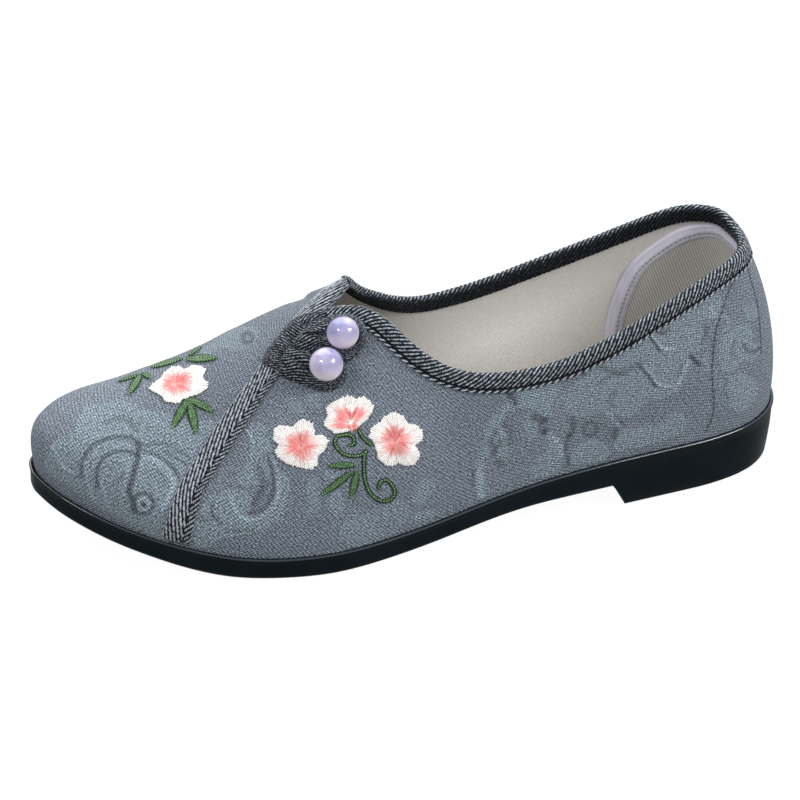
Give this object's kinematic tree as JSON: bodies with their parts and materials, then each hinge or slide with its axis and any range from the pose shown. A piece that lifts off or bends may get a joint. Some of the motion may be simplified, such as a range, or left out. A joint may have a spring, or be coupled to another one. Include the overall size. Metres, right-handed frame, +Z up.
{
  "type": "cloth shoe",
  "caption": "Left cloth shoe with a low heel: hollow fabric upper bound with tape, a knotted bead fastening at the throat, and a moulded rubber sole.",
  "frame": {"origin": "centre of the shoe's bounding box, on the floor that heel and forefoot rest on", "axes": "+X from heel to toe, +Y to the outer (left) side of the foot, +Z up"},
  "size_m": [0.2496, 0.0846, 0.0827],
  "materials": {
    "sole_rubber": "satin moulded",
    "jacquard_cloth": "slate jacquard weave",
    "twill_tape": "ribbed twill",
    "lining_linen": "cream plain weave",
    "pad_twill": "grey beige twill",
    "satin_tape": "pale satin",
    "petal_thread": "satin stitch",
    "coral_thread": "satin stitch",
    "leaf_thread": "satin stitch",
    "bead_resin": "polished translucent"
  },
  "bodies": {
    "root": {"outsole": "sole_rubber", "insole": "lining_linen", "upper": "jacquard_cloth", "collar_binding": "twill_tape", "vamp_tape": "twill_tape", "heel_pad": "pad_twill", "knot_wrap": "twill_tape", "loop_upper": "twill_tape", "loop_lower": "twill_tape", "bead_upper": "bead_resin", "bead_lower": "bead_resin"}
  },
  "joints": []
}
